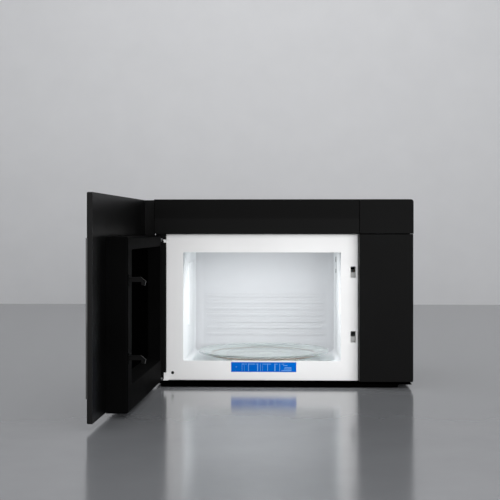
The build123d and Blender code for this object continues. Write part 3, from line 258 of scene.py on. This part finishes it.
def make_materials():
    return {
        "black_trim": black("black_trim", 0.0016, (0.34, 0.37), 0.023, 1400, 0.000004),
        "black_case": black("black_case", 0.002, (0.4, 0.48), 0.04, 1800, 0.00001),
        "black_choke": black("black_choke", 0.0016, (0.5, 0.55), 0.003, 900, 0.000004),
        # the base pan's own black, also used on the lamp housing as painted shade
        "black_pan_and_gap_shade": black("black_pan_and_gap_shade", 0.0006, (0.5, 0.55), 0.0, 900, 0.000004),
        "white_enamel": coated("white_enamel", (0.80, 0.80, 0.80), (0.84, 0.84, 0.84),
                               (0.3, 0.4), 1200, 0.00002),
        # painted shade: the liner's enamel is darker on the back wall, where less of the front light falls
        "cavity_enamel": coated("cavity_enamel", (0.73, 0.75, 0.765), (0.465, 0.475, 0.492), (0.5, 0.6), 900,
                                0.00002, pattern=lambda mat: along(mat, *BACK_WALL_SHADE_SPLIT), Specular_IOR_Level=0.25),
        "door_pane": coated("door_pane", (0.0022, 0.0022, 0.0024), (0.003, 0.003, 0.0032),
                            (0.05, 0.08), 300, 0.00001, Specular_IOR_Level=0.25, Coat_Weight=0.15,
                            Coat_Roughness=0.04),
        "screen_steel": coated("screen_steel", (0.03, 0.03, 0.03), (0.002, 0.002, 0.002), (0.35, 0.5), 1500,
                               0.00003, pattern=lambda mat: lattice(mat, ("Y", "Z"), SCREEN_PITCH),
                               Specular_IOR_Level=0.2),
        "zinc_steel": coated("zinc_steel", (0.42, 0.43, 0.44), (0.56, 0.57, 0.58),
                             (0.28, 0.45), 160, 0.00003, 0.9, (1, 1, 6)),
        "plated_pins": coated("plated_pins", (0.5, 0.5, 0.51), (0.62, 0.62, 0.63),
                              (0.18, 0.3), 700, 0.00002, 1.0),
        "filter_mesh": coated("filter_mesh", (0.45, 0.46, 0.47), (0.6, 0.61, 0.62),
                              (0.3, 0.5), 2500, 0.0001, 1.0),
        "mica": coated("mica", (0.70, 0.72, 0.73), (0.76, 0.78, 0.79), (0.5, 0.65), 500, 0.00004),
        "copper_winding": coated("copper_winding", (0.42, 0.13, 0.05), (0.6, 0.24, 0.1),
                                 (0.25, 0.4), 1200, 0.0002, 0.8, (1, 1, 12)),
        "motor_steel": coated("motor_steel", (0.32, 0.32, 0.33), (0.42, 0.42, 0.43),
                              (0.3, 0.45), 500, 0.00003, 0.9),
        "white_plastic": coated("white_plastic", (0.68, 0.68, 0.66), (0.76, 0.76, 0.74),
                                (0.4, 0.5), 900, 0.00003),
        "black_plastic": black("black_plastic", 0.003, (0.36, 0.42), 0.1, 1600, 0.00001),
        "grey_plastic": coated("grey_plastic", (0.08, 0.08, 0.08), (0.12, 0.12, 0.12),
                               (0.35, 0.45), 900, 0.00003),
        # painted reflection: the band's lower half is a little lighter, as the glossy black mirrors the room
        "band_painted_reflection": coated("band_painted_reflection", (0.001, 0.001, 0.001), (0.0032, 0.0032, 0.0032), (0.34, 0.37), 1400,
                             0.000004, pattern=lambda mat: along(mat, *BAND_REFLECTION_SPLIT), Specular_IOR_Level=0.023),
        # painted shade: the hinge plate's ear is painted black where it lies in shade, and its flange white
        "hinge_painted_shade": coated("hinge_painted_shade", (0.002, 0.002, 0.002), (0.82, 0.82, 0.82), (0.3, 0.4), 1200,
                              0.00002, pattern=lambda mat: along(mat, *HINGE_EAR_SHADE_SPLIT)),
        "hook_gloss": black("hook_gloss", 0.001, (0.26, 0.3), 0.02, 900, 0.000004),
        "door_black": black("door_black", 0.002, (0.34, 0.37), 0.055, 1400, 0.000004),
        "board_laminate": coated("board_laminate", (0.01, 0.11, 0.045), (0.02, 0.15, 0.06),
                                 (0.35, 0.5), 400, 0.00004),
        "label_film": coated("label_film", (0.0015, 0.115, 0.53), (0.002, 0.14, 0.62),
                             (0.4, 0.45), 900, 0.00001, Specular_IOR_Level=0.0),
        "clear_glass": glass("clear_glass", (0.90, 0.965, 0.95), 0.02),
        "window_pane": black("window_pane", 0.0004, (0.3, 0.34), 0.0, 300, 0.000004),
        "label_ink": coated("label_ink", (0.06, 0.27, 0.70), (0.15, 0.42, 0.85), (0.3, 0.4), 700, 0.00001),
        "web_grey": coated("web_grey", (0.84, 0.84, 0.84), (0.9, 0.9, 0.9), (0.4, 0.5), 900, 0.00002),
        # painted shade: the foot ring's dark brown also stands for the shaded gap under the plate's rim
        "foot_ring_shade_brown": coated("foot_ring_shade_brown", (0.28, 0.22, 0.19), (0.34, 0.27, 0.24), (0.3, 0.4), 900, 0.00002),
        "wire_mesh": coated("wire_mesh", (0.55, 0.56, 0.57), (0.68, 0.69, 0.7), (0.25, 0.4), 900, 0.00003, 1.0),
    }


# ================= mesh pieces =================

def piece(name, bm, body, mat, smooth=False):
    """Turns a built mesh into a piece that moves with a body."""
    mesh = bpy.data.meshes.new(name)
    bmesh.ops.recalc_face_normals(bm, faces=bm.faces)
    bm.to_mesh(mesh)
    bm.free()
    for face in mesh.polygons:
        face.use_smooth = smooth
    mesh.materials.append(mat)
    obj = bpy.data.objects.new(name, mesh)
    bpy.context.collection.objects.link(obj)
    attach(obj, body)
    return obj


def add_block(bm, low, high, bevel=0.0):
    """Adds one box between two corners, with its edges softened."""
    low, high = Vector(low), Vector(high)
    made = bmesh.ops.create_cube(bm, size=1.0)
    place = Matrix.Translation((low + high) / 2) @ Matrix.Diagonal((*(high - low), 1))
    bmesh.ops.transform(bm, matrix=place, verts=made["verts"])
    if bevel:
        edges = list({edge for vert in made["verts"] for edge in vert.link_edges})
        bmesh.ops.bevel(bm, geom=edges, offset=bevel, segments=2, affect="EDGES", profile=0.7)


def add_ring(bm, centre, radius, width, height, steps=96):
    """Adds a flat ring with a rounded top, about a vertical axis."""
    rows = []
    profile = [(-width / 2, 0), (-width / 2, 0.6 * height), (-width / 4, height), (width / 4, height),
               (width / 2, 0.6 * height), (width / 2, 0)]
    for i in range(steps):
        angle = 2 * math.pi * i / steps
        rows.append([bm.verts.new(Vector(centre) + Vector((
            (radius + dr) * math.cos(angle), (radius + dr) * math.sin(angle), dz))) for dr, dz in profile])
    for i in range(steps):
        a, b = rows[i], rows[(i + 1) % steps]
        for j in range(len(profile)):
            k = (j + 1) % len(profile)
            bm.faces.new((a[j], a[k], b[k], b[j]))


def label_marks():
    """Pale bars and dashes on the label, which say nothing."""
    low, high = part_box("frame_label")
    face = low.y - LABEL_RELIEF
    width = high.x - low.x
    bm = bmesh.new()
    for share, size in LABEL_BARS:
        x = low.x + share * width
        add_block(bm, (x, face, low.z + BAR_MARGINS[0]), (x + size, low.y, high.z - BAR_MARGINS[1]))
    for share, length in LABEL_DASHES:
        x = low.x + share * width
        add_block(bm, (x, face, high.z - DASH_DROPS[0]), (x + length, low.y, high.z - DASH_DROPS[1]))
    for share, length, lift in LABEL_LINES:
        x = low.x + share * width
        add_block(bm, (x, face, low.z + lift), (x + length, low.y, low.z + lift + LINE_HEIGHT))
    piece("label_marks", bm, "cabinet", materials["label_ink"])


def latch_catch_plates():
    """The pale catch plates seen through the lower half of each latch slot."""
    low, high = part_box("latch_board")
    bm = bmesh.new()
    for z in CATCH_HEIGHTS:
        add_block(bm, (low.x + CATCH_INSET, CATCH_FACES[0], z - CATCH_DROPS[0]),
                  (high.x - CATCH_INSET, CATCH_FACES[1], z - CATCH_DROPS[1]), 0.0002)
    piece("latch_catch_plates", bm, "cabinet", materials["web_grey"])


def plate_rings():
    """The foot ring, whose dark brown is partly painted shade for the gap under the plate's rim, and the pressed
    rings under the glass plate.
    """
    low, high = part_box("turntable_glass")
    centre = Vector(((low.x + high.x) / 2, (low.y + high.y) / 2, low.z))
    bm = bmesh.new()
    add_ring(bm, centre + Vector((0, 0, FOOT_LIFT)), FOOT_RADIUS, FOOT_WIDTH, FOOT_HEIGHT)
    piece("plate_foot_ring", bm, "turntable", materials["foot_ring_shade_brown"], True)
    bm = bmesh.new()
    for radius in PRESSED_RADII:
        add_ring(bm, centre + Vector((0, 0, PRESSED_LIFT)), radius, PRESSED_WIDTH, PRESSED_HEIGHT)
    piece("plate_pressed_rings", bm, "turntable", materials["clear_glass"], True)


def wall_ribs():
    """The shallow ribs pressed into the lower half of the cavity's back wall."""
    bm = bmesh.new()
    for i in range(RIB_COUNT):
        z = RIB_LOWEST + RIB_PITCH * i
        add_block(bm, (RIB_ENDS[0], CAVITY_BACK - RIB_DEPTH, z - RIB_HEIGHT / 2),
                  (RIB_ENDS[1], CAVITY_BACK, z + RIB_HEIGHT / 2), RIB_DEPTH * 0.9)
    piece("wall_ribs", bm, "cabinet", materials["cavity_enamel"])


def lamp_slot_shades():
    """The two dark lenses that fill the lamp's slots in the right wall and stand a little proud of it; their
    darkness is painted shade for the slots.
    """
    x, y = LAMP_SLOT_PLACE
    bm = bmesh.new()
    for low, high in LAMP_SLOT_HEIGHTS:
        add_block(bm, (x - LENS_PROUD, y + LENS_GAP, low + LENS_GAP),
                  (x + LENS_DEPTH, y + LAMP_SLOT_LENGTH - LENS_GAP, high - LENS_GAP))
    piece("lamp_slot_shades", bm, "cabinet", materials["window_pane"])


def hinge_rivets():
    """Rivet heads on the hinge plates' flanges, two on the lower plate and one on the upper."""
    bm = bmesh.new()
    for x, z in RIVET_PLACES:
        made = bmesh.ops.create_uvsphere(bm, u_segments=16, v_segments=8, radius=RIVET_RADIUS)
        place = Matrix.Translation((x, RIVET_FACE, z)) @ Matrix.Diagonal((1, RIVET_FLATNESS, 1, 1))
        bmesh.ops.transform(bm, matrix=place, verts=made["verts"])
    piece("hinge_rivets", bm, "cabinet", materials["white_enamel"], True)


def filter_weave():
    """The woven wires over both grease filters, seen from below."""
    low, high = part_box("grease_filters")
    z = low.z - WIRE_SIZE
    ya, yb = low.y + FILTER_RIM, high.y - FILTER_RIM
    bm = bmesh.new()
    for x0 in (low.x, high.x - FILTER_WIDTH):
        xa, xb = x0 + FILTER_RIM, x0 + FILTER_WIDTH - FILTER_RIM
        for i in range(int((yb - ya) / WIRE_PITCH)):
            y = ya + WIRE_PITCH * (i + 0.5)
            add_block(bm, (xa, y, z), (xb, y + WIRE_SIZE, z + WIRE_SIZE))
        for i in range(int((xb - xa) / WIRE_PITCH)):
            x = xa + WIRE_PITCH * (i + 0.5)
            add_block(bm, (x, ya, z - WIRE_SIZE / 2), (x + WIRE_SIZE, yb, z + WIRE_SIZE / 2))
    piece("filter_weave", bm, "cabinet", materials["wire_mesh"])


def dress_cad(materials):
    """Gives every CAD piece the material of its slot."""
    slots = {row["node"]: row["material_slot"] for row in frame["record"]["subparts"]}
    for node, slot_name in slots.items():
        obj = frame["nodes"][node]
        obj.data.materials.clear()
        obj.data.materials.append(materials[OWN_LOOK.get(node, slot_name)])


# ================= studio =================

def studio():
    """A pale world, a glossy floor, a plain backdrop and the lights."""
    world = bpy.data.worlds.new("studio")
    bpy.context.scene.world = world
    world.use_nodes = True
    world.node_tree.nodes["Background"].inputs["Color"].default_value = (0.95, 0.97, 1.0, 1)
    world.node_tree.nodes["Background"].inputs["Strength"].default_value = 0.42
    bpy.context.scene.view_settings.view_transform = "Standard"

    floor_mat = coated("floor_gloss", (0.20, 0.205, 0.215), (0.215, 0.22, 0.23), (0.12, 0.15), 60, 0.000002)
    wall_mat = coated("wall_matte", (0.8, 0.8, 0.81), (0.82, 0.82, 0.83), (0.8, 0.9), 60, 0.00001)
    side, low, back = STAGE_HALF, FLOOR_HEIGHT, WALL_PLACE
    plane("floor",
          ((-side, FLOOR_FRONT, low), (side, FLOOR_FRONT, low), (side, back, low), (-side, back, low)), floor_mat)
    plane("backdrop",
          ((-side, back, 0), (side, back, 0), (side, back, WALL_HEIGHT), (-side, back, WALL_HEIGHT)), wall_mat)
    for light in LIGHTS:
        area_light(*light)


def plane(name, corners, mat):
    """One flat sheet of the stage, which is no part of the object."""
    mesh = bpy.data.meshes.new(name)
    mesh.from_pydata(corners, [], [(0, 1, 2, 3)])
    mesh.materials.append(mat)
    obj = bpy.data.objects.new(name, mesh)
    bpy.context.collection.objects.link(obj)


def area_light(name, place, target, size, power, mirrored):
    """A soft rectangular light at a place, turned to its target."""
    light = bpy.data.lights.new(name, "AREA")
    light.shape, light.energy = "RECTANGLE", power
    light.size, light.size_y = size
    obj = bpy.data.objects.new(name, light)
    obj.location = place
    aim = Vector(target) - Vector(place)
    obj.rotation_euler = aim.to_track_quat("-Z", "Y").to_euler()
    obj.visible_glossy = mirrored
    bpy.context.collection.objects.link(obj)


def camera():
    """The camera that was fitted to the photo's straight edges."""
    data = bpy.data.cameras.new("camera")
    data.lens, data.sensor_width, data.shift_y = CAMERA_LENS, 36.0, CAMERA_SHIFT_Y
    obj = bpy.data.objects.new("camera", data)
    obj.location = CAMERA_PLACE
    obj.rotation_euler = (math.radians(90), 0, math.radians(CAMERA_YAW))
    bpy.context.collection.objects.link(obj)
    bpy.context.scene.camera = obj


materials = make_materials()
dress_cad(materials)
label_marks()
latch_catch_plates()
plate_rings()
wall_ribs()
lamp_slot_shades()
hinge_rivets()
filter_weave()
studio()
camera()
